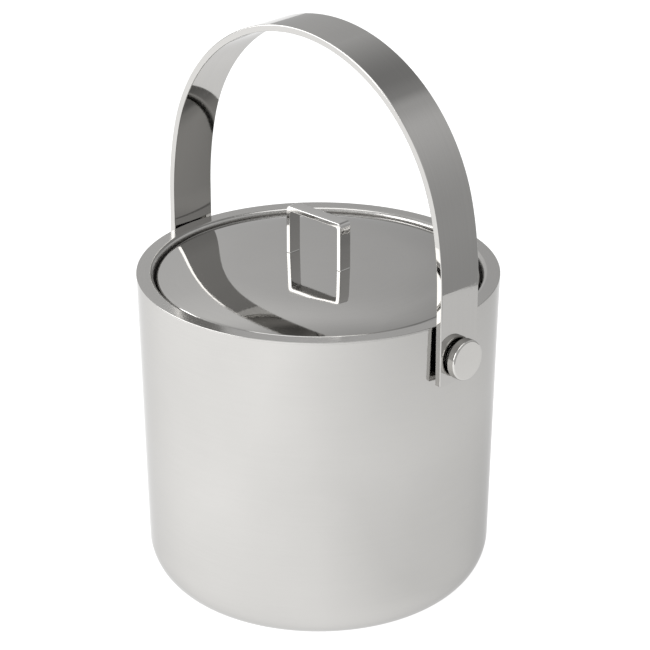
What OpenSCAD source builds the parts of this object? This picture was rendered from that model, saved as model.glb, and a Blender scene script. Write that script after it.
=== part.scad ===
// Double-wall ice bucket with a lift-out domed lid and a flat-strap bail.
// Millimetres, +Z up. The origin is the centre of the base, on the table.
// The bail pivots about the X axis; the right-hand side is +X.

/* [Bucket] */
// Outer radius at the rim
body_r = 80; // [78:0.5:82]
// Height of the rim above the table
body_h = 148.5; // [144:0.5:154]
// Radius lost between the rim and the table
taper = 3.4; // [0.5:0.1:4]
// Radius of the rounded bottom corner
corner_r = 21; // [18:1:23]
// Sheet thickness of the shell and the liner
sheet_t = 0.8; // [0.6:0.1:0.9]
// Width of the flat rim
rim_w = 7.5; // [6:0.1:8]
// Depth of the lid seat below the rim
seat_depth = 9.5; // [9:0.1:10]
// Inside radius of the ice space, measured at the rim's height
liner_r = 69.8; // [69.5:0.1:70]
// Inside radius of the liner's bottom corner
liner_corner_r = 6; // [4:1:10]
// Height of the liner's floor above the table
floor_z = 9.4; // [9:0.1:12]
// How far the base pad stands below the shell
pad_proud = 0.6; // [0.4:0.1:1]

/* [Bail] */
// Distance from the bucket's axis to the strap's inner face
strap_in = 80.7; // [80.6:0.1:81.2]
// Thickness of the strap
strap_t = 3; // [2.5:0.1:3.5]
// Width of the strap
strap_w = 23; // [20:1:26]
// Height of the pivots
pivot_z = 132.5; // [131:0.5:133]
// How far the strap reaches below the pivots
strap_tail = 10.5; // [9:0.5:12]
// Height at which the straight legs turn into the arch
spring_z = 163.5; // [160:0.1:172]
// Height of the arch above that level
arch_rise = 97.5; // [90:0.1:98]
// Radius of the arch's flatter sides
side_r = 149; // [120:1:180]
// Radius of the pivot knobs
knob_r = 9; // [8:0.5:10]
// Thickness of the pivot knobs
knob_t = 4.15; // [3.5:0.05:5]

/* [Lid] */
// Radius of the lid
lid_r = 71.5; // [71.2:0.1:72]
// How far the lid's shoulder lies below the rim
lid_drop = 1.25; // [1:0.05:2]
// Rise of the dome from the shoulder to the centre
dome_rise = 5.6; // [5:0.1:7]
// Radius of the dome's flatter middle
dome_mid_r = 800; // [500:10:2000]
// Distance from the centre at which the dome starts to fall away faster
dome_joint_r = 40; // [25:1:50]
// Radius of the rounded shoulder
shoulder_r = 2.25; // [1.5:0.05:2.5]
// Turn of the lid in its seat, in degrees
lid_turn = 1; // [-45:1:45]
// Outer width of the lid handle
grip_span = 33; // [28:1:36]
// Height of the lid handle above the lid
grip_h = 22; // [18:1:26]
// Width of the lid handle's bar
grip_w = 6.5; // [5:0.5:8]
// Thickness of the lid handle's bar
grip_t = 2.5; // [2.4:0.1:3]

/* [Hidden] */
$fn = 160;

steel = [0.80, 0.80, 0.79];
bright_steel = [0.72, 0.71, 0.70];
hidden_steel = [0.55, 0.56, 0.57];
foam = [0.93, 0.90, 0.80];
rubber = [0.25, 0.25, 0.26];
nylon = [0.16, 0.16, 0.17];

slope = atan(taper / body_h);      // lean of the wall
over = 1;                          // how far a cutting shape runs past a face
gap = 0.15;                        // end play on each side of a strap eye
fit = 0.05;                        // running clearance of a turning or threaded fit

// rim, seat and liner
seat_r = body_r - rim_w;
seat_z = body_h - seat_depth;
lip_r = 1.9;                       // outside bend radius at the rim's inner edge
ledge_edge_r = 0.6;

// pivots
strap_out = strap_in + strap_t;
stud_r = 2.5;
stud_hole_r = 2.65;
shoulder_pin_r = 3;
eye_r = 4;
bush_r = eye_r - 0.03;
washer_t = 1;
washer_r = 6;
spacer_r = 7;
knob_edge_r = 0.8;
spacer_out = strap_in - gap;
washer_in = strap_out + gap;
knob_in = washer_in + washer_t;
knob_face = knob_in + knob_t;
plate_t = 1.5;
plate_w = 28;
plate_h = 22;
nut_t = 4;
nut_r = 4.62;                      // across the corners of an 8 mm hexagon
nut_out = body_r - sheet_t - plate_t - 0.7;
stud_end = nut_out - nut_t + 1;

// arch: flatter sides that are tangent to the legs and to a tighter crown
crown_r = (pow(side_r, 2) - pow(arch_rise, 2) - pow(side_r - strap_out, 2)) / (2 * (side_r - arch_rise));
crown_up = arch_rise - crown_r;    // crown centre above the springing level
turn_share = crown_up / (side_r - crown_r);

// lid
seal_t = 1;
pan_t = 0.6;
flange_z = seat_z + seal_t;
skirt_z = flange_z + pan_t;
shoulder_z = body_h - lid_drop;
dome_edge_r = lid_r - shoulder_r;
crown_z = shoulder_z + dome_rise;
joint_sin = dome_joint_r / dome_mid_r;
joint_cos = sqrt(1 - pow(joint_sin, 2));
joint_z = crown_z - dome_mid_r * (1 - joint_cos);
joint_run = dome_edge_r - dome_joint_r;
joint_fall = joint_z - shoulder_z;
joint_chord = pow(joint_run, 2) + pow(joint_fall, 2);
dome_side_r = joint_chord / (2 * (joint_fall * joint_cos - joint_run * joint_sin));
dome_lap = 0.002;                  // one arc stands this much above the next where they meet
side_x = dome_joint_r - dome_side_r * joint_sin;
side_z = joint_z - dome_side_r * joint_cos + dome_lap;
bend_sin = (dome_edge_r - side_x) / (dome_side_r - shoulder_r);
bend_z = side_z + (dome_side_r - shoulder_r) * sqrt(1 - pow(bend_sin, 2)) + dome_lap;
dome_fn = 2880;
plug_r = 67.8;
plug_z = seat_z - 7.5;
plug_corner_r = 3;
flange_r = lid_r - 0.3;
seal_in = plug_r + 0.3;
seal_out = lid_r - 0.5;
seal_lip_out = plug_r + 1.3;
seal_lip_h = 3.5;

// lid handle
leg_x = (grip_span - grip_t) / 2;
grip_bend_r = 2;
grip_inner_r = 0.8;
grip_foot_z = dome_z(leg_x - grip_t / 2) + 0.02;
grip_stud_r = 1;
grip_stud_len = 4;
grip_hole_r = 1.15;
grip_washer_r = 2.5;
grip_washer_t = 0.5;
grip_nut_r = 2.31;                 // across the corners of a 4 mm hexagon
grip_nut_t = 2;
grip_washer_top = dome_z(leg_x + grip_washer_r) - sheet_t - 0.05;

// height of the flatter middle's outside at a distance from the axis
function dome_z(r) = crown_z - dome_mid_r + sqrt(pow(dome_mid_r, 2) - pow(r, 2));

// radius at a height of a wall whose radius at the rim's height is ref_r
function wall_r(ref_r, z) = ref_r - (body_h - z) * tan(slope);

// half section of a full cup that leans like the wall, with a rounded bottom corner;
// the corner's circle stands 0.01 mm proud of the wall's line, so that the two cross cleanly
module cup_fill(ref_r, z_top, z_bottom, round_r) {
    z_bend = z_bottom + round_r - round_r * sin(slope);
    r_bend = wall_r(ref_r, z_bend);
    centre_r = r_bend - round_r * cos(slope) + 0.01;
    polygon([[0, z_bend], [r_bend, z_bend], [wall_r(ref_r, z_top), z_top], [0, z_top]]);
    translate([0, z_bottom]) square([centre_r, round_r]);
    intersection() {
        translate([centre_r, z_bottom + round_r]) circle(r = round_r);
        translate([centre_r, z_bottom]) square([2 * round_r, 2 * round_r]);
    }
}

// square corner of side r with a quarter disc left out: the disc's centre is at [r, -r]
module outside_bend(r) {
    difference() {
        translate([0, -r]) square([r, r]);
        translate([r, -r]) circle(r = r);
    }
}

// a ring wall that leans like the bucket, between two heights
module leaning_ring(ref_in, ref_out, z_low, z_high, facets = $fn) {
    rotate_extrude($fn = facets)
        polygon([[wall_r(ref_in, z_low), z_low], [wall_r(ref_out, z_low), z_low],
            [wall_r(ref_out, z_high), z_high], [wall_r(ref_in, z_high), z_high]]);
}

// a cylinder along X at the height of the pivots
module along_x(r, x_from, x_to) {
    translate([x_from, 0, pivot_z]) rotate([0, 90, 0]) cylinder(r = r, h = x_to - x_from);
}

// the same piece on the right (1) or on the left (-1)
module on_side(side) {
    rotate([0, 0, side > 0 ? 0 : 180]) children();
}

/* ---- bucket ---- */

module outer_shell() {
    color(steel) difference() {
        rotate_extrude() difference() {
            cup_fill(body_r, body_h - sheet_t, pad_proud, corner_r);
            cup_fill(body_r - sheet_t / cos(slope), body_h, pad_proud + sheet_t, corner_r - sheet_t);
        }
        for (side = [1, -1]) on_side(side) along_x(stud_hole_r, body_r - 10, body_r + over);
    }
}

module liner_outside() {
    translate([0, body_h - sheet_t]) square([body_r, sheet_t]);
    translate([0, seat_z - sheet_t]) square([seat_r + sheet_t, seat_depth]);
    translate([seat_r + sheet_t, body_h - sheet_t]) outside_bend(lip_r - sheet_t);
    cup_fill(liner_r + sheet_t, seat_z, floor_z - sheet_t, liner_corner_r + sheet_t);
}

module liner_inside() {
    translate([0, seat_z]) square([seat_r, seat_depth + over]);
    translate([seat_r, body_h]) outside_bend(lip_r);
    translate([wall_r(liner_r, seat_z), seat_z]) outside_bend(ledge_edge_r);
    cup_fill(liner_r, seat_z + over, floor_z, liner_corner_r);
}

module inner_liner() {
    color(steel) rotate_extrude() difference() {
        liner_outside();
        liner_inside();
    }
}

module wall_insulation() {
    color(foam) leaning_ring(liner_r + sheet_t + 0.5, body_r - sheet_t - 0.5, corner_r + 3,
        pivot_z - plate_h / 2 - 2);
}

module base_insulation() {
    foam_z = pad_proud + sheet_t + 0.2;
    color(foam) translate([0, 0, foam_z])
        cylinder(r = body_r - taper - corner_r - 4, h = floor_z - sheet_t - 0.2 - foam_z);
}

module base_pad() {
    color(rubber) cylinder(r = body_r - taper - corner_r - 6, h = pad_proud);
}

/* ---- pivots ---- */

module backing_plate() {
    color(hidden_steel) difference() {
        intersection() {
            leaning_ring(body_r - sheet_t - plate_t - 0.05, body_r - sheet_t - 0.05,
                pivot_z - plate_h / 2, pivot_z + plate_h / 2);
            translate([body_r - 10, -plate_w / 2, pivot_z - plate_h / 2]) cube([10, plate_w, plate_h]);
        }
        along_x(stud_hole_r, body_r - 10, body_r);
    }
}

module pivot_nut() {
    color(hidden_steel) difference() {
        translate([nut_out - nut_t, 0, pivot_z]) rotate([0, 90, 0]) cylinder(r = nut_r, h = nut_t, $fn = 6);
        along_x(stud_r + fit, nut_out - nut_t - over, nut_out + over);
    }
}

// flat towards the strap, hollowed to the wall's curve at the back
module spacer_washer() {
    color(nylon) difference() {
        along_x(spacer_r, body_r - 2, spacer_out);
        leaning_ring(1, body_r + 0.02, pivot_z - 2 * spacer_r, pivot_z + 2 * spacer_r, 4 * $fn);
        along_x(stud_r + fit, body_r - 3, spacer_out + over);
    }
}

module knob_washer() {
    color(hidden_steel) difference() {
        along_x(washer_r, washer_in, knob_in);
        along_x(shoulder_pin_r + fit, washer_in - over, knob_in + over);
    }
}

// half section of the knob, from its axis outwards, with its face at the top
module knob_section() {
    inner_r = knob_r - knob_edge_r;
    square([inner_r, knob_t]);
    translate([0, knob_edge_r]) square([knob_r, knob_t - 2 * knob_edge_r]);
    intersection() {
        translate([inner_r, 0]) square([knob_edge_r, knob_t]);
        union() {
            translate([inner_r, knob_edge_r]) circle(r = knob_edge_r);
            translate([inner_r, knob_t - knob_edge_r]) circle(r = knob_edge_r);
        }
    }
}

module pivot_knob() {
    color(bright_steel) {
        translate([knob_in, 0, pivot_z]) rotate([0, 90, 0]) rotate_extrude() knob_section();
        along_x(shoulder_pin_r, spacer_out, knob_in + over);
        along_x(stud_r, stud_end, spacer_out + over);
    }
}

module right_backing_plate() { on_side(1) backing_plate(); }
module left_backing_plate() { on_side(-1) backing_plate(); }
module right_pivot_nut() { on_side(1) pivot_nut(); }
module left_pivot_nut() { on_side(-1) pivot_nut(); }
module right_spacer_washer() { on_side(1) spacer_washer(); }
module left_spacer_washer() { on_side(-1) spacer_washer(); }
module right_knob_washer() { on_side(1) knob_washer(); }
module left_knob_washer() { on_side(-1) knob_washer(); }
module right_pivot_knob() { on_side(1) pivot_knob(); }
module left_pivot_knob() { on_side(-1) pivot_knob(); }

/* ---- bail ---- */

// front view of the whole space inside the strap's outline, inset from its outer face
module arch_fill(inset, z_low) {
    turn_z = spring_z + (side_r - inset) * turn_share;
    half = strap_out - inset;
    translate([-half, z_low]) square([2 * half, spring_z - z_low]);
    intersection() {
        translate([-half, spring_z]) square([2 * half, turn_z - spring_z]);
        translate([strap_out - side_r, spring_z]) circle(r = side_r - inset);
        translate([side_r - strap_out, spring_z]) circle(r = side_r - inset);
    }
    intersection() {
        translate([-half, turn_z]) square([2 * half, arch_rise]);
        translate([0, spring_z + crown_up]) circle(r = crown_r - inset);
    }
}

module bail_strap() {
    foot_z = pivot_z - strap_tail;
    color(bright_steel) difference() {
        rotate([90, 0, 0]) linear_extrude(height = strap_w, center = true) difference() {
            arch_fill(0, foot_z);
            arch_fill(strap_t, foot_z - over);
        }
        for (side = [1, -1]) on_side(side) along_x(eye_r, strap_in - over, strap_out + over);
    }
}

module pivot_bush() {
    color(nylon) difference() {
        along_x(bush_r, strap_in, strap_out);
        along_x(shoulder_pin_r + fit, strap_in - over, strap_out + over);
    }
}

module right_pivot_bush() { on_side(1) pivot_bush(); }
module left_pivot_bush() { on_side(-1) pivot_bush(); }

/* ---- lid ---- */

module lid_seal() {
    color(rubber) rotate_extrude() {
        translate([seal_in, seat_z]) square([seal_out - seal_in, seal_t]);
        translate([seal_in, seat_z - seal_lip_h]) square([seal_lip_out - seal_in, seal_lip_h + seal_t]);
    }
}

// half section of the lid's full form, inset from its outside, down to a level
module lid_fill(inset, z_low) {
    bend_start = dome_edge_r + (shoulder_r - inset) * bend_sin;
    translate([0, z_low]) square([lid_r - inset, bend_z - z_low]);
    translate([dome_edge_r, bend_z]) circle(r = shoulder_r - inset);
    intersection() {
        translate([0, z_low]) square([bend_start, crown_z - z_low]);
        translate([side_x, side_z]) circle(r = dome_side_r - inset, $fn = dome_fn);
    }
    intersection() {
        translate([0, z_low]) square([dome_joint_r, crown_z - z_low]);
        translate([0, crown_z - dome_mid_r]) circle(r = dome_mid_r - inset, $fn = dome_fn);
    }
}

module at_legs() {
    for (side = [1, -1]) rotate([0, 0, lid_turn]) translate([side * leg_x, 0, 0]) children();
}

module lid_cover() {
    color(bright_steel) difference() {
        rotate_extrude() difference() {
            lid_fill(0, skirt_z);
            lid_fill(sheet_t, skirt_z - over);
        }
        at_legs() translate([0, 0, skirt_z]) cylinder(r = grip_hole_r, h = 2 * grip_h);
    }
}

// half section of the plug below the lid, inset from its outside, up to a level
module plug_fill(inset, z_high) {
    bend_r = plug_r - plug_corner_r;
    translate([0, plug_z + inset]) square([bend_r, z_high - plug_z - inset]);
    translate([0, plug_z + plug_corner_r]) square([plug_r - inset, z_high - plug_z - plug_corner_r]);
    translate([bend_r, plug_z + plug_corner_r]) circle(r = plug_corner_r - inset);
}

module lid_pan() {
    color(steel) rotate_extrude() difference() {
        union() {
            plug_fill(0, skirt_z);
            translate([0, flange_z]) square([flange_r, pan_t]);
        }
        plug_fill(pan_t, skirt_z + over);
    }
}

module lid_insulation() {
    foam_z = plug_z + plug_corner_r;
    color(foam) translate([0, 0, foam_z])
        cylinder(r = plug_r - pan_t - 0.3, h = bend_z - foam_z);
}

// front view of the handle's bar as a full block with two rounded upper corners
module grip_block(half, top, round_r) {
    translate([-half, 0]) square([2 * half, top - round_r]);
    translate([-half + round_r, 0]) square([2 * (half - round_r), top]);
    for (side = [1, -1]) translate([side * (half - round_r), top - round_r]) circle(r = round_r);
}

module lid_handle() {
    color(bright_steel) {
        rotate([0, 0, lid_turn]) translate([0, 0, grip_foot_z]) rotate([90, 0, 0])
            linear_extrude(height = grip_w, center = true) difference() {
                grip_block(grip_span / 2, grip_h, grip_bend_r);
                translate([0, -over])
                    grip_block(grip_span / 2 - grip_t, grip_h - grip_t + over, grip_inner_r);
            }
        at_legs() translate([0, 0, grip_foot_z - grip_stud_len])
            cylinder(r = grip_stud_r, h = grip_stud_len + over);
    }
}

module lid_handle_washers() {
    color(hidden_steel) at_legs() translate([0, 0, grip_washer_top - grip_washer_t]) difference() {
        cylinder(r = grip_washer_r, h = grip_washer_t);
        translate([0, 0, -over]) cylinder(r = grip_hole_r, h = grip_washer_t + 2 * over);
    }
}

module lid_handle_nuts() {
    nut_z = grip_washer_top - grip_washer_t - grip_nut_t;
    color(hidden_steel) at_legs() translate([0, 0, nut_z]) difference() {
        cylinder(r = grip_nut_r, h = grip_nut_t, $fn = 6);
        translate([0, 0, -over]) cylinder(r = grip_stud_r + fit, h = grip_nut_t + 2 * over);
    }
}

outer_shell();
inner_liner();
wall_insulation();
base_insulation();
base_pad();
right_backing_plate();
left_backing_plate();
right_pivot_nut();
left_pivot_nut();
right_spacer_washer();
left_spacer_washer();
right_knob_washer();
left_knob_washer();
right_pivot_knob();
left_pivot_knob();
bail_strap();
right_pivot_bush();
left_pivot_bush();
lid_seal();
lid_cover();
lid_pan();
lid_insulation();
lid_handle();
lid_handle_washers();
lid_handle_nuts();
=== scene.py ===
import math
import bmesh
import bpy
from mathutils import Matrix, Vector


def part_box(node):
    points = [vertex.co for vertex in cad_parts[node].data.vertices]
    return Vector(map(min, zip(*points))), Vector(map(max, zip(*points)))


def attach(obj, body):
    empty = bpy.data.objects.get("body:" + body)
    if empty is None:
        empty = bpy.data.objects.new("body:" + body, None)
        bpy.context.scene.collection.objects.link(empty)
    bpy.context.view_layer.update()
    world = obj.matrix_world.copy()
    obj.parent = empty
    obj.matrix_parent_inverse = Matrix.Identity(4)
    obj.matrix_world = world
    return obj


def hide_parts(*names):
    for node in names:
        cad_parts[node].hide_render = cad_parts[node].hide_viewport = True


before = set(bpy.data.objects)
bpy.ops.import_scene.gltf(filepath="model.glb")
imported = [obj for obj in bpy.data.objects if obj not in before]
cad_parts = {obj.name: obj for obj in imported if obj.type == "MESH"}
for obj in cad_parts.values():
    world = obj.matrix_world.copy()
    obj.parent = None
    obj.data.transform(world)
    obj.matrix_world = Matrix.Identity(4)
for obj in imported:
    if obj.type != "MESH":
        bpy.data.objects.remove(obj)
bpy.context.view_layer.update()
MM = 0.001
WHITE = (1.0, 1.0, 1.0, 1.0)


def box_mm(node):
    lo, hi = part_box(node)
    return lo / MM, hi / MM


# ------------------------------------------------------------------ sizes (mm), from the CAD boxes
BODY_R = box_mm("inner_liner")[1].x
BODY_H = box_mm("inner_liner")[1].z
SHELL_LO, SHELL_HI = box_mm("outer_shell")
SHEET = BODY_H - SHELL_HI.z
PAN_LO, PAN_HI = box_mm("lid_pan")
SEAL_LO, SEAL_HI = box_mm("lid_seal")
COVER_LO, COVER_HI = box_mm("lid_cover")
STRAP_LO, STRAP_HI = box_mm("bail_strap")
KNOB_LO, KNOB_HI = box_mm("right_pivot_knob")
PAD_HI = box_mm("base_pad")[1]
GRIP_LO, GRIP_HI = box_mm("lid_handle")
PIVOT_Z = (KNOB_LO.z + KNOB_HI.z) / 2
STRAP_OUT = STRAP_HI.x

# sizes (mm) that no box shows, as the CAD has them
SLOPE = math.radians(1.3116)  # the wall leans in towards the base
RIM_W = 7.5
SEAL_FLANGE_T = 1.0
SEAT_R = BODY_R - RIM_W
SEAT_Z = SEAL_HI.z - SEAL_FLANGE_T
LINER_R = 69.8
FLOOR_Z = 9.4
SHELL_CORNER_R = 21.0
LINER_CORNER_R = 6.0
LIP_R = 1.9
SHELL_HOLE_R = 2.65
FOAM_GAP = 0.5
STRAP_T = 3.0
EYE_R = 4.0
SPRING_Z = 163.5  # where the strap's straight legs end
SIDE_R = 149.0
LID_DROP = 1.25
SHOULDER_R = 2.25
DOME_MID_R, DOME_JOINT_R = 800.0, 40.0
DOME_LAP = 0.002  # radians that the dome's arc stops short of the shoulder
PLUG_R = 67.8
PAN_T = 0.6
GRIP_W, GRIP_T = 6.5, 2.5


# ------------------------------------------------------------------ mesh building
class Build:
    """Vertices, faces and a normal for every face corner; faces turn to follow their normals."""

    def __init__(self, place=None):
        self.place = place or Matrix.Identity(4)
        self.turn = self.place.to_3x3()
        self.verts, self.edge, self.faces, self.normals = [], [], [], []

    def vert(self, co, edge=0.0):
        self.verts.append(self.place @ (Vector(co) * MM))
        self.edge.append(edge)
        return len(self.verts) - 1

    def face(self, ids, normals):
        keep = [i for i in range(len(ids)) if ids[i] != ids[i - 1]]
        ids = [ids[i] for i in keep]
        if len(ids) < 3:
            return
        normals = [self.turn @ Vector(normals[i]) for i in keep]
        area = Vector((0, 0, 0))
        for i in range(1, len(ids) - 1):
            a, b, c = (self.verts[ids[k]] for k in (0, i, i + 1))
            area += (b - a).cross(c - a)
        if area.dot(sum(normals, Vector((0, 0, 0)))) < 0:
            ids.reverse()
            normals.reverse()
        self.faces.append(ids)
        self.normals.extend(normals)

    def finish(self, name, body, material, nodes):
        mesh = bpy.data.meshes.new(name)
        mesh.from_pydata(self.verts, [], self.faces)
        mesh.shade_smooth()
        layer = mesh.attributes.new("edge", "FLOAT", "POINT")
        layer.data.foreach_set("value", self.edge)
        mesh.normals_split_custom_set(self.normals)
        mesh.materials.append(material)
        obj = bpy.data.objects.new(name, mesh)
        bpy.context.scene.collection.objects.link(obj)
        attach(obj, body)
        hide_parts(*nodes)
        return obj


def arc_steps(radius, angle):
    """How many straight pieces an arc gets: shorter turns, in degrees, on larger radii."""
    step = 3 if radius > 10 else 7 if radius > 1 else 15
    return max(2, math.ceil(math.degrees(abs(angle)) / step))


def outline(items, closed=False):
    """A line of (u, v, fillet) corners and (u, v, nu, nv) points, as (u, v, nu, nv, edge) points.
    The solid lies to the left of the line's direction."""
    out, n = [], len(items)
    for i, item in enumerate(items):
        if len(item) == 4:
            out.append((*item, 0.0))
            continue
        p = Vector(item[:2])
        before = Vector(items[i - 1][:2]) if closed or i > 0 else None
        after = Vector(items[(i + 1) % n][:2]) if closed or i < n - 1 else None
        d1 = (p - before).normalized() if before is not None else (after - p).normalized()
        d2 = (after - p).normalized() if after is not None else d1
        n1 = Vector((d1.y, -d1.x))
        turn = math.atan2(d1.x * d2.y - d1.y * d2.x, d1.dot(d2))
        if before is None or after is None or abs(turn) < 1e-6:
            out.append((p.x, p.y, n1.x, n1.y, 0.0))
            continue
        radius = item[2]
        start = p - d1 * radius * math.tan(abs(turn) / 2)
        side = 1 if turn > 0 else -1
        centre = start - n1 * radius * side
        steps = arc_steps(radius, turn)
        for k in range(steps + 1):
            a = turn * k / steps
            nrm = Vector((n1.x * math.cos(a) - n1.y * math.sin(a), n1.x * math.sin(a) + n1.y * math.cos(a)))
            q = centre + nrm * radius * side
            # edge value on small convex fillets: wear (rougher) and a painted highlight (lighter colour) in the
            # steel
            wear_and_highlight = math.sin(math.pi * k / steps) if radius < 3 and side > 0 else 0.0
            out.append((q.x, q.y, nrm.x, nrm.y, wear_and_highlight))
    return out


def revolve(b, line, segments, closed=False, skip=()):
    """Turns an outline of (radius, height) about Z. Returns the vertex numbers of each ring."""
    rings = []
    for r, z, nr, nz, edge in line:
        if r < 1e-6:
            rings.append([b.vert((0, 0, z), edge)] * segments)
            continue
        ring = []
        for s in range(segments):
            t = 2 * math.pi * s / segments
            ring.append(b.vert((r * math.cos(t), r * math.sin(t), z), edge))
        rings.append(ring)

    def normal(i, s):
        t = 2 * math.pi * s / segments
        return (line[i][2] * math.cos(t), line[i][2] * math.sin(t), line[i][3])

    count = len(line)
    for i in range(count if closed else count - 1):
        j = (i + 1) % count
        for s in range(segments):
            if (i, s) in skip:
                continue
            e = (s + 1) % segments
            b.face([rings[i][s], rings[i][e], rings[j][e], rings[j][s]],
                   [normal(i, s), normal(i, e), normal(j, e), normal(j, s)])
    return rings


def drill(b, loops, surfaces, centre, radius):
    """Closes the openings left in two facing skins around one round hole along X."""
    circles = []
    for loop, surface in zip(loops, surfaces):
        circle = []
        for v in loop:
            co = (b.place.inverted() @ b.verts[v]) / MM
            d = Vector((co.y - centre[0], co.z - centre[1])).normalized()
            y, z = centre[0] + d.x * radius, centre[1] + d.y * radius
            x, nrm = surface(y, z)
            circle.append((b.vert((x, y, z)), nrm, (0, -d.x, -d.y)))
        circles.append(circle)
        for k in range(len(loop)):
            m = (k + 1) % len(loop)
            outer = [(b.place.inverted() @ b.verts[loop[q]]) / MM for q in (k, m)]
            normals = [surface(o.y, o.z)[1] for o in outer]
            b.face([loop[k], loop[m], circle[m][0], circle[k][0]],
                   [normals[0], normals[1], circle[m][1], circle[k][1]])
    first, second = circles
    for k in range(len(first)):
        m = (k + 1) % len(first)
        b.face([first[k][0], first[m][0], second[m][0], second[k][0]],
               [first[k][2], first[m][2], second[m][2], second[k][2]])


def patch_loop(grid, rows, cols):
    """The rim of a rectangle of grid points, in order."""
    r0, r1 = rows
    c0, c1 = cols
    loop = [grid(r0, c) for c in range(c0, c1)]
    loop += [grid(r, c1) for r in range(r0, r1)]
    loop += [grid(r1, c) for c in range(c1, c0, -1)]
    loop += [grid(r, c0) for r in range(r1, r0, -1)]
    return loop


def lathe(name, items, body, material, nodes, segments=192, closed=False, place=None):
    b = Build(place)
    revolve(b, outline(items, closed), segments, closed)
    return b.finish(name, body, material, nodes)


# ------------------------------------------------------------------ materials
def nodes_of(name):
    material = bpy.data.materials.new(name)
    material.use_nodes = True
    tree = material.node_tree
    tree.nodes.clear()
    out = tree.nodes.new("ShaderNodeOutputMaterial")
    bsdf = tree.nodes.new("ShaderNodeBsdfPrincipled")
    tree.links.new(bsdf.outputs[0], out.inputs[0])
    return material, tree, bsdf


def put(tree, kind, inputs=(), **settings):
    node = tree.nodes.new(kind)
    for key, value in settings.items():
        setattr(node, key, value)
    for socket, value in dict(inputs).items():
        if isinstance(value, bpy.types.NodeSocket):
            tree.links.new(value, node.inputs[socket])
        else:
            node.inputs[socket].default_value = value
    return node


def math_node(tree, operation, a, b=0.0):
    return put(tree, "ShaderNodeMath", {0: a, 1: b}, operation=operation).outputs[0]


def remap(tree, value, lo, hi, to_lo, to_hi):
    return put(tree, "ShaderNodeMapRange", {0: value, 1: lo, 2: hi, 3: to_lo, 4: to_hi}).outputs[0]


def noise(tree, vector, scale, detail=3.0, w=None):
    inputs = {"Vector": vector, "Scale": scale, "Detail": detail, "Roughness": 0.5}
    if w is not None:
        inputs["W"] = w
    kind = "4D" if w is not None else "3D"
    return put(tree, "ShaderNodeTexNoise", inputs, noise_dimensions=kind).outputs[0]


def stretched(tree, vector, scale, turn=(0, 0, 0)):
    return put(tree, "ShaderNodeMapping", {"Vector": vector, "Scale": scale, "Rotation": turn}).outputs[0]


def mixed_colour(tree, share, first, second):
    return put(tree, "ShaderNodeMix", {0: share, 6: first, 7: second}, data_type="RGBA").outputs[2]


def scaled(tone, factor):
    return tuple(min(1.0, c * factor) for c in tone) + (1.0,)


def brush_field(tree, coord, grain, lines):
    """A noise drawn out into fine lines: round the axis, along the strap, or in no direction."""
    if grain == "strap":
        return noise(tree, stretched(tree, coord, (9, lines, 9)), 1.0)
    if grain in ("z", "x"):
        keep = (1, 1, 0) if grain == "z" else (0, 1, 1)
        flat = put(tree, "ShaderNodeVectorMath", {0: coord, 1: keep}, operation="MULTIPLY").outputs[0]
        radial = put(tree, "ShaderNodeVectorMath", {0: flat}, operation="LENGTH").outputs["Value"]
        around = put(tree, "ShaderNodeVectorMath", {0: flat}, operation="NORMALIZE").outputs[0]
        parts = put(tree, "ShaderNodeSeparateXYZ", {0: coord})
        along = parts.outputs["Z" if grain == "z" else "X"]
        w = math_node(tree, "MULTIPLY", math_node(tree, "ADD", radial, along), lines)
        return noise(tree, around, 2.5, w=w)
    return noise(tree, coord, lines)


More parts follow.
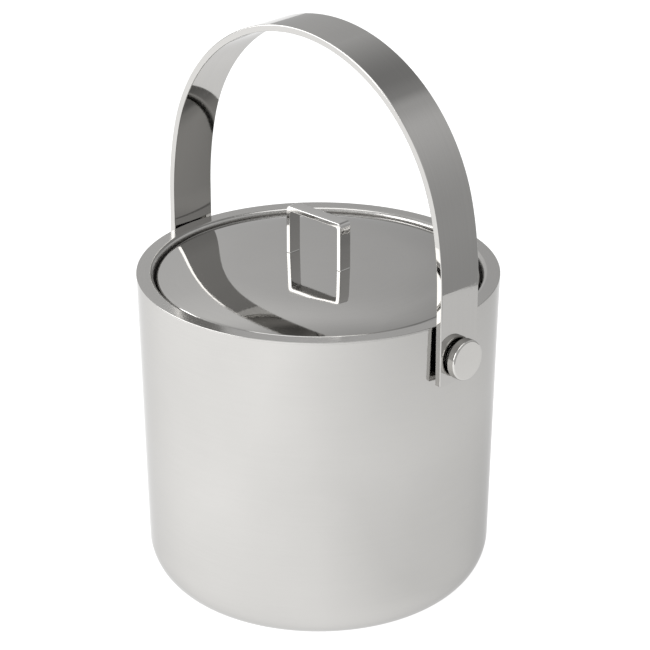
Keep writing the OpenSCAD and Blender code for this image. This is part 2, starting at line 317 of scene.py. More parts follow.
def steel(name, tone=(0.53, 0.522, 0.508), rough=0.06, grain="z", lines=1500.0,
          brush=0.02, bump=0.03, smudge=0.02, scratch=0.06, satin_below=None):
    """Polished steel with brush lines, smudges, scratches and rubbed edges, which are rougher (wear) and
    lighter in colour (a painted edge highlight); satin under a height if given.
    """
    wear_and_highlight_peak, worn_rough, least_rough, glance = 0.5, 0.08, 0.015, 0.72
    satin_fade, satin_rough = 1.6, 0.22
    relief = 0.00005
    material, tree, bsdf = nodes_of(name)
    coord = put(tree, "ShaderNodeTexCoord").outputs["Object"]
    fine = brush_field(tree, coord, grain, lines)
    cloud = noise(tree, coord, 22.0, 4.0)
    marks = []
    for k, turn in enumerate(((0.3, 0.2, 0.9), (1.1, 0.5, 2.2), (0.7, 1.3, 0.1))):
        field = noise(tree, stretched(tree, coord, (55, 1700, 900 - 200 * k), turn), 1.0, 1.0)
        marks.append(remap(tree, field, 0.70, 0.78, 0.0, 1.0))
    mark = math_node(tree, "MAXIMUM", math_node(tree, "MAXIMUM", marks[0], marks[1]), marks[2])
    edge = put(tree, "ShaderNodeAttribute", attribute_name="edge").outputs["Fac"]
    # rubbed edge patches: wear (rougher) and a painted highlight (lighter colour)
    rub_and_highlight = math_node(tree, "MULTIPLY", edge, remap(tree, noise(tree, coord, 260.0), 0.45, 0.62, 0.0, wear_and_highlight_peak))
    value = remap(tree, fine, 0.3, 0.7, -brush, brush)
    value = math_node(tree, "ADD", value, remap(tree, cloud, 0.35, 0.65, -smudge, smudge))
    value = math_node(tree, "ADD", value, math_node(tree, "MULTIPLY", mark, scratch))
    value = math_node(tree, "ADD", value, math_node(tree, "MULTIPLY", rub_and_highlight, worn_rough))
    if satin_below is not None:
        height_m = put(tree, "ShaderNodeSeparateXYZ", {0: coord}).outputs["Z"]
        satin = remap(tree, height_m, (satin_below - satin_fade) * MM, satin_below * MM, satin_rough, 0.0)
        value = math_node(tree, "ADD", value, satin)
    value = math_node(tree, "MAXIMUM", math_node(tree, "ADD", value, rough), least_rough)
    tree.links.new(value, bsdf.inputs["Roughness"])
    shade = math_node(tree, "ADD", remap(tree, cloud, 0.3, 0.7, 0.0, 0.6),
                      remap(tree, fine, 0.3, 0.7, 0.0, 0.4))
    colour = mixed_colour(tree, shade, scaled(tone, 0.965), scaled(tone, 1.035))
    # painted edge highlight: rubbed edges get a lighter colour
    colour = mixed_colour(tree, rub_and_highlight, colour, scaled(tone, 1.12))
    tree.links.new(colour, bsdf.inputs["Base Color"])
    height = math_node(tree, "ADD", fine, math_node(tree, "MULTIPLY", mark, -0.6))
    bumped = put(tree, "ShaderNodeBump", {"Strength": bump, "Distance": relief, "Height": height})
    tree.links.new(bumped.outputs[0], bsdf.inputs["Normal"])
    bsdf.inputs["Metallic"].default_value = 1.0
    bsdf.inputs["Specular Tint"].default_value = (glance, glance, glance, 1.0)
    return material


def matte(name, tone, rough, scale, bump, distance):
    """A dull material with a grain of its own scale and a slightly uneven colour."""
    spread, rough_spread, specular = 0.25, 0.1, 0.4
    material, tree, bsdf = nodes_of(name)
    coord = put(tree, "ShaderNodeTexCoord").outputs["Object"]
    coarse = noise(tree, coord, scale, 5.0)
    cells = put(tree, "ShaderNodeTexVoronoi", {"Vector": coord, "Scale": scale * 2.2}).outputs["Distance"]
    height = math_node(tree, "ADD", coarse, math_node(tree, "MULTIPLY", cells, 0.5))
    blend = remap(tree, coarse, 0.3, 0.7, 0.0, 1.0)
    colour = mixed_colour(tree, blend, scaled(tone, 1 - spread), scaled(tone, 1 + spread))
    tree.links.new(colour, bsdf.inputs["Base Color"])
    uneven = remap(tree, height, 0.3, 1.1, rough - rough_spread, rough + rough_spread)
    tree.links.new(uneven, bsdf.inputs["Roughness"])
    bumped = put(tree, "ShaderNodeBump", {"Strength": bump, "Distance": distance, "Height": height})
    tree.links.new(bumped.outputs[0], bsdf.inputs["Normal"])
    bsdf.inputs["Specular IOR Level"].default_value = specular
    return material


shell_steel = steel("polished_shell", rough=0.10, grain="z", brush=0.025, bump=0.05)
liner_steel = steel("polished_liner", rough=0.15, grain="z", brush=0.02, bump=0.04,
                    satin_below=BODY_H - 0.5)
lid_steel = steel("mirror_lid", rough=0.045, grain="z", brush=0.012, bump=0.02,
                  smudge=0.012, scratch=0.04)
bail_steel = steel("mirror_bail", rough=0.035, grain="strap", lines=1300.0,
                   brush=0.01, bump=0.015, smudge=0.01)
grip_steel = steel("bright_grip", tone=(0.60, 0.592, 0.58), rough=0.05, grain="none",
                   lines=700.0, bump=0.03)
knob_steel = steel("polished_knob", tone=(0.64, 0.63, 0.61), rough=0.06, grain="x",
                   lines=1800.0, brush=0.02, bump=0.03)
plain_steel = steel("plain_zinc_steel", tone=(0.46, 0.465, 0.47), rough=0.24, grain="none", lines=500.0,
                    brush=0.05, bump=0.12, smudge=0.05)
foam = matte("foam_core", (0.78, 0.70, 0.50), 0.85, 420.0, 0.6, 0.0004)
nylon = matte("black_nylon", (0.022, 0.022, 0.024), 0.45, 900.0, 0.25, 0.00008)
rubber = matte("black_rubber", (0.03, 0.03, 0.031), 0.65, 700.0, 0.35, 0.0001)


# ------------------------------------------------------------------ bucket
def lean(ref_r, z):
    return ref_r - (BODY_H - z) * math.tan(SLOPE)


def cup_corner(ref_r, z_bottom):
    """Where the leaning wall's line meets the bottom's level."""
    return lean(ref_r, z_bottom), z_bottom


def wall_point(ref_r, z, side):
    return lean(ref_r, z), z, side * math.cos(SLOPE), -side * math.sin(SLOPE)


def build_shell():
    """The outer cup, with its two pivot holes cut into the grid of its skins."""
    inner_ref = BODY_R - SHEET / math.cos(SLOPE)
    reach, cells, edge_round = 4, 6, 0.03
    rows = [PIVOT_Z - reach + 2 * reach * k / cells for k in range(cells + 1)]
    z0, z1, top = SHELL_LO.z, SHELL_LO.z + SHEET, SHELL_HI.z
    items = [(0, z0, 0), (*cup_corner(BODY_R, z0), SHELL_CORNER_R)]
    items += [wall_point(BODY_R, z, 1) for z in rows]
    items += [(lean(BODY_R, top), top, edge_round), (lean(inner_ref, top), top, edge_round)]
    items += [wall_point(inner_ref, z, -1) for z in reversed(rows)]
    items += [(*cup_corner(inner_ref, z1), SHELL_CORNER_R - SHEET), (0, z1, 0)]
    line = outline(items)
    segments, half = 240, 2
    spans = []
    for ref in (BODY_R, inner_ref):
        found = [i for i, p in enumerate(line) for z in (rows[0], rows[-1])
                 if abs(p[1] - z) < 1e-6 and abs(p[0] - lean(ref, z)) < 1e-6]
        spans.append((min(found), max(found)))
    skip = set()
    for first, last in spans:
        for i in range(first, last):
            for s in range(-half, half):
                skip.add((i, s % segments))
                skip.add((i, (s + segments // 2) % segments))
    b = Build()
    rings = revolve(b, line, segments, skip=skip)
    for side, middle in ((1, 0), (-1, segments // 2)):
        loops, surfaces = [], []
        for (first, last), ref, facing in zip(spans, (BODY_R, inner_ref), (1, -1)):
            def grid(i, s, middle=middle):
                return rings[i][(s + middle) % segments]

            def surface(y, z, ref=ref, facing=facing, side=side):
                r = lean(ref, z)
                x = side * math.sqrt(max(r * r - y * y, 0.0))
                n = Vector((x, y, 0)).normalized() * math.cos(SLOPE) * facing
                return x, (n.x, n.y, -facing * math.sin(SLOPE))

            loop = patch_loop(grid, (first, last), (-half, half))
            if facing < 0:
                start = min(range(len(loop)),
                            key=lambda k: (b.verts[loop[k]] - b.verts[loops[0][0]]).length)
                loop = loop[start:] + loop[:start]
                near = (b.verts[loop[1]] - b.verts[loops[0][1]]).length
                if near > (b.verts[loop[-1]] - b.verts[loops[0][1]]).length:
                    loop = [loop[0]] + loop[:0:-1]
            loops.append(loop)
            surfaces.append(surface)
        drill(b, loops, surfaces, (0.0, PIVOT_Z), SHELL_HOLE_R)
    return b.finish("shell_wall", "bucket", shell_steel, ["outer_shell"])


def build_liner():
    """The well, the lid's seat and the flat rim, in one sheet."""
    outer = LINER_R + SHEET
    ledge_r = lean(LINER_R, SEAT_Z)
    items = [(0, FLOOR_Z - SHEET, 0), (*cup_corner(outer, FLOOR_Z - SHEET), LINER_CORNER_R + SHEET),
             (lean(outer, SEAT_Z - SHEET), SEAT_Z - SHEET, 0.2), (SEAT_R + SHEET, SEAT_Z - SHEET, 0.5),
             (SEAT_R + SHEET, BODY_H - SHEET, LIP_R - SHEET), (BODY_R, BODY_H - SHEET, 0.03),
             (BODY_R, BODY_H, 0.22), (SEAT_R, BODY_H, LIP_R), (SEAT_R, SEAT_Z, 0.3),
             (ledge_r, SEAT_Z, 0.6), (*cup_corner(LINER_R, FLOOR_Z), LINER_CORNER_R), (0, FLOOR_Z, 0)]
    return lathe("liner_cup", items, "bucket", liner_steel, ["inner_liner"], 240)


def build_pad():
    """The non-slip disc, with ring grooves in its underside."""
    top, edge = PAD_HI.z, PAD_HI.x
    pitch, depth, groove_w, draft, soft, margin = 3.0, 0.25, 1.2, 0.15, 0.06, 4
    items = [(0, 0, 0)]
    r = 10.0
    while r < edge - margin:
        items += [(r, 0, soft), (r + draft, depth, soft), (r + groove_w - draft, depth, soft),
                  (r + groove_w, 0, soft)]
        r += pitch
    items += [(edge, 0, 0.15), (edge, top, 0.15), (0, top, 0)]
    return lathe("grip_pad", items, "bucket", rubber, ["base_pad"], 128)


def build_foam(name, node, body, inner=None):
    """A foam disc, or a leaning sleeve where an inner radius at the rim is given."""
    lo, hi = box_mm(node)
    if inner is None:
        items = [(0, lo.z, 0), (hi.x, lo.z, 1.2), (hi.x, hi.z, 1.2), (0, hi.z, 0)]
        return lathe(name, items, body, foam, [node], 96)
    outer, soft = BODY_R - SHEET - FOAM_GAP, 0.8
    items = [(lean(inner, lo.z), lo.z, soft), (lean(outer, lo.z), lo.z, soft),
             (lean(outer, hi.z), hi.z, soft), (lean(inner, hi.z), hi.z, soft)]
    return lathe(name, items, body, foam, [node], 96, closed=True)


def beside(side):
    """Turns a lathed piece so that its axis lies along X, on the right (1) or on the left (-1)."""
    return Matrix.Translation((0, 0, PIVOT_Z * MM)) @ Matrix.Rotation(math.radians(90 * side), 4, "Y")


def build_knob(side):
    """A shoulder screw with a disc head and thread grooves; heights in its outline are along X."""
    tag = "right" if side > 0 else "left"
    screw_r, root_r, shoulder_r, head_r = 2.5, 2.3, 3.0, 9.0
    pitch, flank, root_w, soft = 0.8, 0.18, 0.08, 0.04
    first_groove, plain_end = 0.9, 1.4
    lo, hi = KNOB_LO, KNOB_HI
    head = box_mm("right_knob_washer")[1].x
    spacer_out = box_mm("right_spacer_washer")[1].x
    items = [(0, lo.x, 0), (screw_r, lo.x, 0.4)]
    x = lo.x + first_groove
    while x < spacer_out - plain_end:
        items += [(screw_r, x, soft), (root_r, x + flank, soft), (root_r, x + flank + root_w, soft),
                  (screw_r, x + 2 * flank + root_w, soft)]
        x += pitch
    items += [(screw_r, spacer_out, 0.1), (shoulder_r, spacer_out, 0.12), (shoulder_r, head, 0.12),
              (head_r, head, 0.7), (head_r, hi.x, 0.8), (0, hi.x, 0)]
    return lathe(tag + "_knob", items, "bucket", knob_steel, [tag + "_pivot_knob"], 96,
                 place=beside(side))


def build_washer(side):
    tag = "right" if side > 0 else "left"
    lo, hi = box_mm("right_knob_washer")
    bore_r = 3.05
    items = [(bore_r, lo.x, 0.1), (hi.y, lo.x, 0.2), (hi.y, hi.x, 0.2), (bore_r, hi.x, 0.1)]
    return lathe(tag + "_washer", items, "bucket", plain_steel, [tag + "_knob_washer"], 72,
                 closed=True, place=beside(side))


# ------------------------------------------------------------------ bail
def flat_section(width, round_r, columns):
    """Layers (y, inset, lean of the normal) of a flat bar with rounded long edges."""
    layers, quarter = [], 4
    for k in range(quarter + 1):
        a = math.radians(-90 + 90 * k / quarter)
        layers.append((-width / 2 + round_r + round_r * math.sin(a), round_r * (1 - math.cos(a)), a))
    for y in columns:
        layers.append((y, 0.0, 0.0))
    for k in range(quarter + 1):
        a = math.radians(90 * k / quarter)
        layers.append((width / 2 - round_r + round_r * math.sin(a), round_r * (1 - math.cos(a)), a))
    return layers


def crowned_section(width, round_r, bulge):
    """Layers of a bar with faces that fall away towards their rounded long edges."""
    count, edge_count = 8, 7
    layers, flat = [], width / 2 - round_r
    slope = math.atan(4 * bulge / flat)
    for k in range(count + 1):
        t = k / count
        layers.append((flat * t, bulge * t ** 4, math.atan(4 * bulge * t ** 3 / flat)))
    for k in range(1, edge_count + 1):
        a = slope + (math.pi / 2 - slope) * k / edge_count
        layers.append((flat + round_r * (math.sin(a) - math.sin(slope)),
                       bulge + round_r * (math.cos(slope) - math.cos(a)), a))
    return [(-y, inset, -a) for y, inset, a in reversed(layers[1:])] + layers


def band(b, line, layers):
    """Draws a closed outline in X and Z out along Y, through the layers of its section."""
    grid, normals = [], []
    for y, inset, a in layers:
        ids, nrm = [], []
        for x, z, nx, nz, edge in line:
            # edge value on the rounded long edges: wear (rougher) and a painted highlight (lighter colour) in
            # the steel
            wear_and_highlight = max(edge, math.sin(math.pi * min(abs(a) / (math.pi / 2), 1.0)))
            ids.append(b.vert((x - nx * inset, y, z - nz * inset), wear_and_highlight))
            nrm.append((nx * math.cos(a), math.sin(a), nz * math.cos(a)))
        grid.append(ids)
        normals.append(nrm)
    return grid, normals


def bridge(b, first, second, normal):
    """Fills the strip between two lines of vertices that run side by side."""
    i = j = 0
    while i < len(first) - 1 or j < len(second) - 1:
        ahead_first = (b.verts[first[min(i + 1, len(first) - 1)]] - b.verts[second[j]]).length
        ahead_second = (b.verts[first[i]] - b.verts[second[min(j + 1, len(second) - 1)]]).length
        if j == len(second) - 1 or (i < len(first) - 1 and ahead_first <= ahead_second):
            b.face([first[i], first[i + 1], second[j]], [normal] * 3)
            i += 1
        else:
            b.face([first[i], second[j + 1], second[j]], [normal] * 3)
            j += 1


def skin(b, grid, normals, skip=(), cap=True):
    """Joins the layers of a band with faces, and closes its two long sides if asked."""
    count = len(grid[0])
    for j in range(len(grid) - 1):
        for k in range(count):
            if (j, k) in skip:
                continue
            m = (k + 1) % count
            b.face([grid[j][k], grid[j][m], grid[j + 1][m], grid[j + 1][k]],
                   [normals[j][k], normals[j][m], normals[j + 1][m], normals[j + 1][k]])
    if cap:
        b.face(list(grid[0]), [(0, -1, 0)] * count)
        b.face(list(grid[-1]), [(0, 1, 0)] * count)


def arch_points(inset, facing):
    """The three-centred arch from right to left, as outline points; normals face out (1) or in (-1)."""
    side_steps, crown_steps = 30, 60
    rise = STRAP_HI.z - SPRING_Z
    crown_r = (SIDE_R ** 2 - rise ** 2 - (SIDE_R - STRAP_OUT) ** 2) / (2 * (SIDE_R - rise))
    crown_up = rise - crown_r
    turn = math.atan2(crown_up, SIDE_R - STRAP_OUT)
    points = []

    def add(cx, cz, r, a):
        c, s = math.cos(a), math.sin(a)
        points.append((cx + (r - inset) * c, cz + (r - inset) * s, facing * c, facing * s))

    for k in range(side_steps):
        add(STRAP_OUT - SIDE_R, SPRING_Z, SIDE_R, turn * k / side_steps)
    for k in range(crown_steps + 1):
        add(0, SPRING_Z + crown_up, crown_r, turn + (math.pi - 2 * turn) * k / crown_steps)
    for k in range(1, side_steps + 1):
        add(SIDE_R - STRAP_OUT, SPRING_Z, SIDE_R, math.pi - turn + turn * k / side_steps)
    return points


def build_strap():
    """The flat strap: its outline in X and Z drawn out along Y, with an eye in each leg."""
    reach, cells, tip_r, long_edge_r, near = 5.5, 8, 0.5, 0.45, 1e-6
    width = STRAP_HI.y - STRAP_LO.y
    foot = STRAP_LO.z
    strap_in = STRAP_OUT - STRAP_T
    rows = [PIVOT_Z - reach + 2 * reach * k / cells for k in range(cells + 1)]
    items = [(STRAP_OUT, foot, tip_r)] + [(STRAP_OUT, z, 1, 0) for z in rows]
    items += arch_points(0, 1)
    items += [(-STRAP_OUT, z, -1, 0) for z in reversed(rows)]
    items += [(-STRAP_OUT, foot, tip_r), (-strap_in, foot, tip_r)]
    items += [(-strap_in, z, 1, 0) for z in rows]
    items += list(reversed(arch_points(STRAP_T, -1)))
    items += [(strap_in, z, -1, 0) for z in reversed(rows)] + [(strap_in, foot, tip_r)]
    line = outline(items, closed=True)
    b = Build()
    columns = [-reach + 2 * reach * k / cells for k in range(cells + 1)]
    layers = flat_section(width, long_edge_r, columns)
    grid, normals = band(b, line, layers)
    first_col = min(j for j, layer in enumerate(layers) if abs(layer[0] - columns[0]) < near)
    last_col = first_col + len(columns) - 1
    skip, spans = set(), {}
    for x in (STRAP_OUT, strap_in, -STRAP_OUT, -strap_in):
        found = [k for k, p in enumerate(line)
                 if abs(p[0] - x) < near and rows[0] - near < p[1] < rows[-1] + near]
        spans[x] = (min(found), max(found))
        for j in range(first_col, last_col):
            for k in range(*spans[x]):
                skip.add((j, k))
    skin(b, grid, normals, skip)
    for side in (1, -1):
        loops, surfaces = [], []
        for x, facing in ((side * STRAP_OUT, side), (side * strap_in, -side)):
            rising = line[spans[x][0]][1] < line[spans[x][1]][1]

            def cell(row, col, x=x, rising=rising):
                k = spans[x][0] + row if rising else spans[x][1] - row
                return grid[col][k]

            def surface(y, z, x=x, facing=facing):
                return x, (facing, 0, 0)

            loops.append(patch_loop(cell, (0, len(rows) - 1), (first_col, last_col)))
            surfaces.append(surface)
        drill(b, loops, surfaces, (0.0, PIVOT_Z), EYE_R)
    return b.finish("bail_band", "bail", bail_steel, ["bail_strap"])


# ------------------------------------------------------------------ lid
def dome_points(inset, facing, crown_z, shoulder_z, edge_r, shoulder_r):
    """Half of the dome, from shoulder to centre: a falling side and a flatter middle, as tangent arcs."""
    side_steps, mid_steps = 16, 8
    mid_r, joint_r = DOME_MID_R, DOME_JOINT_R
    joint_sin = joint_r / mid_r
    joint_cos = math.sqrt(1 - joint_sin ** 2)
    joint_z = crown_z - mid_r * (1 - joint_cos)
    run, fall = edge_r - joint_r, joint_z - shoulder_z
    side_r = (run ** 2 + fall ** 2) / (2 * (fall * joint_cos - run * joint_sin))
    side_x, side_z = joint_r - side_r * joint_sin, joint_z - side_r * joint_cos
    joint_a = math.asin(joint_sin)
    bend_a = math.asin((edge_r - side_x) / (side_r - shoulder_r)) - DOME_LAP
    arcs = [(side_x, side_z, side_r - inset, bend_a + (joint_a - bend_a) * k / side_steps)
            for k in range(side_steps)]
    arcs += [(0.0, crown_z - mid_r, mid_r - inset, joint_a * (1 - k / mid_steps))
             for k in range(mid_steps + 1)]
    return [(x + r * math.sin(a), z + r * math.cos(a), facing * math.sin(a), facing * math.cos(a))
            for x, z, r, a in arcs]


def build_cover():
    """The domed skin with its rounded shoulder and short skirt."""
    lid_r, crown_z, skirt_z = COVER_HI.x, COVER_HI.z, COVER_LO.z
    form = (crown_z, BODY_H - LID_DROP, lid_r - SHOULDER_R, SHOULDER_R)
    top = dome_points(0.0, 1, *form)
    under = dome_points(SHEET, -1, *form)[::-1]

    def meet(point, r):
        """The height where the arc's tangent at a point reaches a radius."""
        return point[1] - (r - point[0]) * point[2] / point[3] if point[3] else point[1]

    inner_r = lid_r - SHEET
    items = under + [(inner_r, meet(under[-1], inner_r), SHOULDER_R - SHEET), (inner_r, skirt_z, 0.2),
                     (lid_r, skirt_z, 0.2), (lid_r, meet(top[0], lid_r), SHOULDER_R)] + top
    return lathe("lid_dome", items, "lid", lid_steel, ["lid_cover"], 240)


def build_pan():
    plug_z, bend_r, edge_round = PAN_LO.z, 3.0, 0.25
    skirt_z, flange_z, flange_r = PAN_HI.z, PAN_HI.z - PAN_T, PAN_HI.x
    inner_r = PLUG_R - PAN_T
    items = [(0, plug_z, 0), (PLUG_R, plug_z, bend_r), (PLUG_R, flange_z, 0.2),
             (flange_r, flange_z, edge_round), (flange_r, skirt_z, edge_round), (inner_r, skirt_z, 0.3),
             (inner_r, plug_z + PAN_T, bend_r - PAN_T), (0, plug_z + PAN_T, 0)]
    return lathe("lid_underside", items, "lid", lid_steel, ["lid_pan"], 192)


def build_seal():
    seal_in, seal_out, lip_out, soft = 68.1, SEAL_HI.x, 69.1, 0.3
    items = [(seal_in, SEAL_LO.z, soft), (lip_out, SEAL_LO.z, soft), (lip_out, SEAT_Z, soft),
             (seal_out, SEAT_Z, soft), (seal_out, SEAL_HI.z, soft), (seal_in, SEAL_HI.z, soft)]
    return lathe("seal_ring", items, "lid_seal", rubber, ["lid_seal"], 192, closed=True)


def rounded_ring(b, centre_x, z, half_x, half_y, tilt, count=48, power=4.0):
    """A ring of vertices on a rounded rectangle, with normals that tilt up from level."""
    ring = []
    for k in range(count):
        a = 2 * math.pi * k / count
        c, s = math.cos(a), math.sin(a)
        x = math.copysign(abs(c) ** (2 / power), c) * half_x
        y = math.copysign(abs(s) ** (2 / power), s) * half_y
        n = Vector((math.copysign(abs(c) ** (2 - 2 / power), c) / GRIP_T,
                    math.copysign(abs(s) ** (2 - 2 / power), s) / GRIP_W, 0)).normalized()
        n = n * math.cos(tilt) + Vector((0, 0, math.sin(tilt)))
        # edge value 0.4 all round the collar: wear (rougher) and a painted highlight (lighter colour) in the
        # steel
        ring.append((b.vert((centre_x + x, y, z), 0.4), n))
    return ring


def build_grip():
    """The handle's flat bar, bent into a staple, with a small collar and a stud at each foot."""
    turn = Matrix.Rotation(math.radians(1.0), 4, "Z")
    half, height, buried, near = 16.5, 22.0, 0.6, 1e-6
    bend_in, bend_out, long_edge_r, bulge = 0.8, 2.0, 0.45, 0.06
    stud_r, stud_lap, stud_round = 1.0, 1.5, 0.2
    top = GRIP_HI.z
    lid_top = top - height
    foot = lid_top - buried
    inner = half - GRIP_T
    leg_x = half - GRIP_T / 2
    right = [(inner, top - GRIP_T, bend_in), (inner, foot, -1, 0), (half, foot, 1, 0), (half, top, bend_out)]
    left = [(-p[0], p[1], p[2]) if len(p) == 3 else (-p[0], p[1], -p[2], 0) for p in reversed(right)]
    line = outline(right + left, closed=True)
    b = Build(turn)
    grid, normals = band(b, line, crowned_section(GRIP_W, long_edge_r, bulge))
    skin(b, grid, normals, cap=False)
    ends = [k for k, p in enumerate(line) if abs(p[1] - foot) < near]
    for ids, facing in ((grid[0], -1), (grid[-1], 1)):
        inner_ids = ids[ends[3]:] + ids[:ends[0] + 1]
        bridge(b, ids[ends[1]:ends[2] + 1], inner_ids[::-1], (0, facing, 0))
    # how far the collar stands out, its height above the lid and the tilt of its normals, from the top down
    collar = ((0.0, 0.34, 0.0), (0.1, 0.17, 0.7), (0.3, 0.06, 1.1), (0.32, -0.3, 0.0))
    for side in (1, -1):
        rings = [rounded_ring(b, side * leg_x, lid_top + z, GRIP_T / 2 + out, GRIP_W / 2 + out, tilt)
                 for out, z, tilt in collar]
        for low, high in zip(rings, rings[1:]):
            for k in range(len(low)):
                m = (k + 1) % len(low)
                quad = (low[k], low[m], high[m], high[k])
                b.face([v for v, n in quad], [n for v, n in quad])
    stud_top = foot + stud_lap
    stud = outline([(0, GRIP_LO.z, 0), (stud_r, GRIP_LO.z, stud_round), (stud_r, stud_top, stud_round),
                    (0, stud_top, 0)])
    for side in (1, -1):
        piece = Build(turn @ Matrix.Translation((side * leg_x * MM, 0, 0)))
        revolve(piece, stud, 32)
        base = len(b.verts)
        b.verts += piece.verts
        b.edge += piece.edge
        b.faces += [[i + base for i in f] for f in piece.faces]
        b.normals += piece.normals
    return b.finish("lid_grip", "lid", grip_steel, ["lid_handle"])


build_shell()
build_liner()
build_pad()
build_foam("wall_foam", "wall_insulation", "bucket", LINER_R + SHEET + FOAM_GAP)
build_foam("base_foam", "base_insulation", "bucket")
build_foam("lid_foam", "lid_insulation", "lid")
for side in (1, -1):
    build_knob(side)
    build_washer(side)
build_strap()
build_cover()
build_pan()
build_seal()
build_grip()

# CAD nodes that stay
for node, material in (
        ("right_backing_plate", plain_steel), ("left_backing_plate", plain_steel),
        ("right_pivot_nut", plain_steel), ("left_pivot_nut", plain_steel),
        ("right_spacer_washer", nylon), ("left_spacer_washer", nylon),
        ("right_pivot_bush", nylon), ("left_pivot_bush", nylon),
        ("lid_handle_washers", plain_steel), ("lid_handle_nuts", plain_steel)):
    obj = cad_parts[node]
    if not obj.material_slots:
        obj.data.materials.append(material)
    for slot in obj.material_slots:
        slot.material = material


# ------------------------------------------------------------------ camera
AZIMUTH, ELEVATION, DISTANCE = math.radians(44.65), math.radians(23.92), 1.2152
SENSOR_W = 36.0
PICTURE_WIDTHS = 2737.0 / 650.0  # the focal length, in widths of the picture
back = Vector((math.sin(AZIMUTH) * math.cos(ELEVATION), -math.cos(AZIMUTH) * math.cos(ELEVATION),
               math.sin(ELEVATION)))
aim = Vector((0.0021, 0.0021, 0.1212))
camera = bpy.data.objects.new("camera", bpy.data.cameras.new("camera"))
bpy.context.scene.collection.objects.link(camera)
camera.data.sensor_width = SENSOR_W
camera.data.lens = PICTURE_WIDTHS * SENSOR_W
camera.data.clip_end = 50.0
camera.location = aim + back * DISTANCE
camera.rotation_euler = back.to_track_quat("Z", "Y").to_euler()
bpy.context.scene.camera = camera

# ------------------------------------------------------------------ stage
ahead = Vector((-math.sin(AZIMUTH), math.cos(AZIMUTH), 0))
rightward = Vector((math.cos(AZIMUTH), math.sin(AZIMUTH), 0))
FLOOR_R = 9.0


def stage_material(name, glow, albedo):
    material, tree, bsdf = nodes_of(name)
    bsdf.inputs["Base Color"].default_value = (albedo, albedo, albedo, 1)
    bsdf.inputs["Roughness"].default_value = 0.9
    bsdf.inputs["Specular IOR Level"].default_value = 0.0
    bsdf.inputs["Emission Color"].default_value = WHITE
    bsdf.inputs["Emission Strength"].default_value = glow
    return material


def disc(name, radius, material):
    mesh = bpy.data.meshes.new(name)
    bm = bmesh.new()
    bmesh.ops.create_circle(bm, cap_ends=True, segments=96, radius=radius)
    bm.to_mesh(mesh)
    bm.free()
    mesh.materials.append(material)
    obj = bpy.data.objects.new(name, mesh)
    bpy.context.scene.collection.objects.link(obj)
    return obj


def dot(tree, vector, direction):
    """How far a point or a direction lies along a fixed direction of the stage."""
    node = put(tree, "ShaderNodeVectorMath", {0: vector, 1: direction}, operation="DOT_PRODUCT")
    return node.outputs["Value"]


def tone_ramp(tree, value, stops):
    """A smooth grey ramp through (position, tone) stops."""
    ramp = put(tree, "ShaderNodeValToRGB", {0: value})
    ramp.color_ramp.interpolation = "EASE"
    elements = ramp.color_ramp.elements
    for at, level in stops:
        last = at == stops[-1][0]
        element = elements[0] if at == 0 else elements[len(elements) - 1] if last else elements.new(at)
        element.color = (level, level, level, 1)
    return put(tree, "ShaderNodeRGBToBW", {0: ramp.outputs[0]}).outputs[0]


floor = disc("floor", FLOOR_R, stage_material("pale_floor", 0.93, 0.35))
floor.visible_glossy = False


def reflected_floor_material():
    """The floor as the steel mirrors it, glowing with painted light: brighter on the left, with painted shade
    close to the bucket on the right.
    """
    material = stage_material("pale_floor_reflected", 0.0, 0.68)
    tree = material.node_tree
    place = put(tree, "ShaderNodeTexCoord").outputs["Object"]
    across = dot(tree, place, rightward)
    away = put(tree, "ShaderNodeVectorMath", {0: place}, operation="LENGTH").outputs["Value"]
    # painted shade: the glow drops close to the bucket on the right
    shaded = math_node(tree, "MULTIPLY", remap(tree, away, 0.09, 0.24, 0.24, 0.0),
                       remap(tree, across, 0.0, 0.08, 0.0, 1.0))
    # painted light: the glow is higher on the left than on the right
    glow = math_node(tree, "SUBTRACT", remap(tree, across, -0.15, 0.35, 0.59, 0.10), shaded)
    tree.links.new(glow, tree.nodes["Principled BSDF"].inputs["Emission Strength"])
    return material


mirror_floor = disc("floor_for_reflections", FLOOR_R, reflected_floor_material())
mirror_floor.visible_camera = False
mirror_floor.visible_diffuse = False
mirror_floor.visible_shadow = False


def card(name, centre, facing, width, height, stops):
    """A glowing card that shows only in reflections, a painted reflection: its glow changes from foot to top,
    its edges fade.
    """
    side_fade, top_fade = 0.12, 0.30
    material, tree, bsdf = nodes_of(name)
    coord = put(tree, "ShaderNodeTexCoord").outputs["Generated"]
    parts = put(tree, "ShaderNodeSeparateXYZ", {0: coord})
    # painted reflection: the card's glow changes with height
    glow = tone_ramp(tree, parts.outputs["Y"], stops)
    emission = put(tree, "ShaderNodeEmission", {"Strength": glow})
    solid = math_node(tree, "MULTIPLY", remap(tree, parts.outputs["X"], 0.0, side_fade, 0.0, 1.0),
                      remap(tree, parts.outputs["X"], 1.0 - side_fade, 1.0, 1.0, 0.0))
    solid = math_node(tree, "MULTIPLY", solid,
                      remap(tree, parts.outputs["Y"], 1.0 - top_fade, 1.0, 1.0, 0.0))
    clear = put(tree, "ShaderNodeBsdfTransparent")
    mixed = put(tree, "ShaderNodeMixShader", {0: solid, 1: clear.outputs[0], 2: emission.outputs[0]})
    tree.links.new(mixed.outputs[0], tree.nodes["Material Output"].inputs[0])
    mesh = bpy.data.meshes.new(name)
    w, h = width / 2, height / 2
    mesh.from_pydata([(-w, -h, 0), (w, -h, 0), (w, h, 0), (-w, h, 0)], [], [(0, 1, 2, 3)])
    mesh.materials.append(material)
    obj = bpy.data.objects.new(name, mesh)
    bpy.context.scene.collection.objects.link(obj)
    obj.location = centre
    obj.rotation_euler = Vector(facing).to_track_quat("Z", "Y").to_euler()
    obj.visible_camera = False
    obj.visible_diffuse = False
    obj.visible_shadow = False


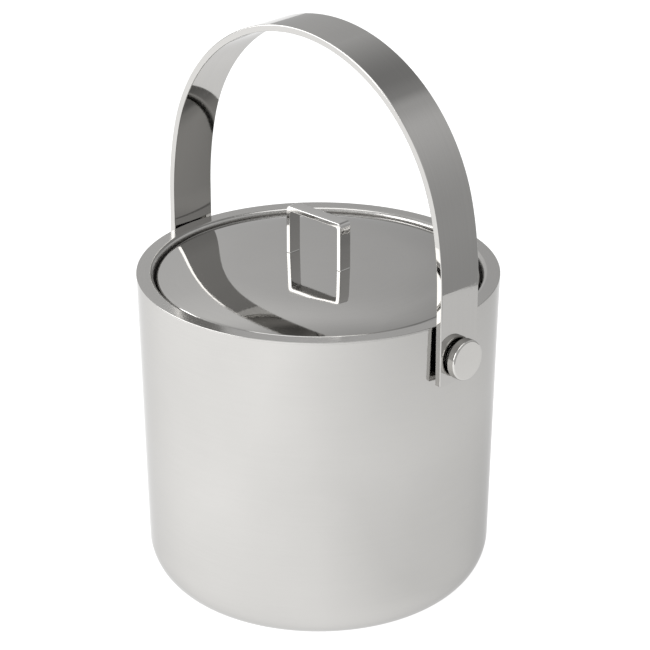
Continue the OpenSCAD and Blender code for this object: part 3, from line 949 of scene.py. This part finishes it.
card_normal = Vector((0.954, 0.299, 0)).normalized()
card_foot = Vector((0.345, 0.265, 0))
CARD_W, CARD_H = 2.4, 1.2
card("side_card", card_foot + Vector((0, 0, CARD_H / 2)), -card_normal, CARD_W, CARD_H,
     ((0, 0.43), (0.15, 0.47), (0.45, 0.66), (0.60, 0.54), (0.74, 0.35), (1.0, 0.33)))


def softbox(name, direction, distance, width, height, strength):
    """A rectangular area light that faces the bucket; strength is its brightness, whatever its size."""
    bucket_middle = Vector((0, 0, 0.1))
    data = bpy.data.lights.new(name, "AREA")
    data.shape = "RECTANGLE"
    data.size, data.size_y = width, height
    data.energy = strength * width * height * math.pi
    lamp = bpy.data.objects.new(name, data)
    bpy.context.scene.collection.objects.link(lamp)
    lamp.location = bucket_middle + direction.normalized() * distance
    lamp.rotation_euler = direction.to_track_quat("Z", "Y").to_euler()


def toward(azimuth, elevation):
    """A direction from the bucket: 0 is away behind it in the front view, 90 to the right."""
    a, e = math.radians(azimuth), math.radians(elevation)
    return (ahead * math.cos(a) + rightward * math.sin(a)) * math.cos(e) + Vector((0, 0, math.sin(e)))


softbox("left_softbox", toward(-98, 26), 1.2, 1.3, 0.7, 3.5)
softbox("top_softbox", toward(180, 84), 1.3, 1.0, 1.0, 1.5)

def dimmed(tree, look, level, middle, start, full, share):
    """Lowers a level to a share of itself round a direction, between two cosines of the angle to it."""
    near = dot(tree, look, middle)
    return math_node(tree, "MULTIPLY", level, remap(tree, near, start, full, 1.0, share))


def build_world():
    """The pale surround: darker overhead, brighter on the left, with two dimmed zones."""
    world = bpy.data.worlds.new("studio")
    bpy.context.scene.world = world
    world.use_nodes = True
    tree = world.node_tree
    tree.nodes.clear()
    look = put(tree, "ShaderNodeTexCoord").outputs["Generated"]
    height = put(tree, "ShaderNodeSeparateXYZ", {0: look}).outputs["Z"]
    level = tone_ramp(tree, height, ((0, 0.86), (0.05, 0.84), (0.48, 0.84),
                                     (0.68, 0.92), (0.84, 0.66), (1.0, 0.40)))
    level = math_node(tree, "MULTIPLY", level, remap(tree, dot(tree, look, rightward), -0.15, 0.15, 1.16, 0.84))
    level = dimmed(tree, look, level, toward(50, 36), 0.86, 0.98, 0.48)
    level = dimmed(tree, look, level, toward(135, 26), 0.74, 0.84, 0.10)
    background = put(tree, "ShaderNodeBackground", {"Strength": level})
    world_out = put(tree, "ShaderNodeOutputWorld")
    tree.links.new(background.outputs[0], world_out.inputs[0])


build_world()
bpy.context.scene.view_settings.view_transform = "Standard"
